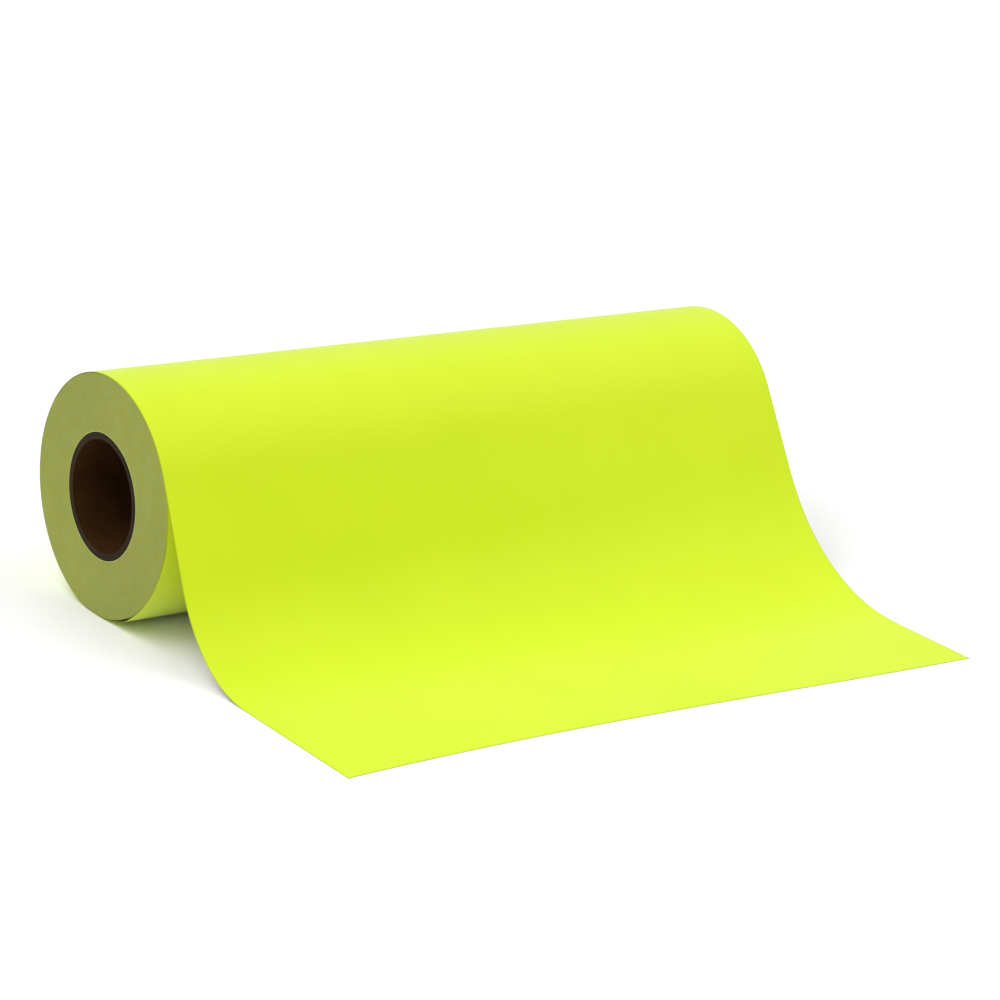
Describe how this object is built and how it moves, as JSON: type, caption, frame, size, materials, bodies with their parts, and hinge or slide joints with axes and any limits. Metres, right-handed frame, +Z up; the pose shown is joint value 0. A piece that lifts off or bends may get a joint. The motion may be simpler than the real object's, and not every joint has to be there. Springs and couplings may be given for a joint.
{
  "type": "roll of sign vinyl",
  "caption": "Roll of fluorescent yellow-green self-adhesive sign vinyl on a paper core, its free end draped over the front and laid flat.",
  "frame": {"origin": "centre of the core's bore, halfway along the roll", "axes": "+X along the roll's axis, the web pays out over the top and down the front towards -Y, +Z up; the table is 81.9 mm below the origin"},
  "size_m": [0.508, 0.382, 0.1639],
  "materials": {
    "face_film": "satin fluorescent yellow-green calendered film",
    "release_liner": "white silicone-coated kraft paper",
    "wound_edge": "slit edges of many turns, matt olive",
    "core_liner_kraft": "brown kraft tube board, spiral wound",
    "core_kraft": "grey-brown tube board, cut edge",
    "core_dark_wrap": "dark outer ply of the core",
    "start_tape": "crepe masking tape"
  },
  "bodies": {
    "web_drape": {"drape_film": "face_film", "drape_liner": "release_liner"},
    "roll": {"core_inner_ply": "core_liner_kraft", "core_body_ply_1": "core_kraft", "core_body_ply_2": "core_kraft", "core_body_ply_3": "core_kraft", "core_body_ply_4": "core_kraft", "core_body_ply_5": "core_kraft", "core_body_ply_6": "core_kraft", "core_body_ply_7": "core_kraft", "core_outer_ply": "core_dark_wrap", "core_start_tape": "start_tape", "wound_pack": "wound_edge"},
    "web_tail": {"tail_film": "face_film", "tail_liner": "release_liner"}
  },
  "joints": [
    {"name": "roll_spin", "type": "hinge", "parent": "web_drape", "child": "roll", "pos_m": [0, 0, 0], "axis": [1, 0, 0], "range_deg": [0, 360]},
    {"name": "web_feed", "type": "slide", "parent": "web_drape", "child": "web_tail", "axis": [0, -1, 0], "range_m": [0, 0.5148]}
  ],
  "couplings": [
    {"joint": "web_feed", "follows": "roll_spin", "m_per_rad": 0.08186}
  ]
}
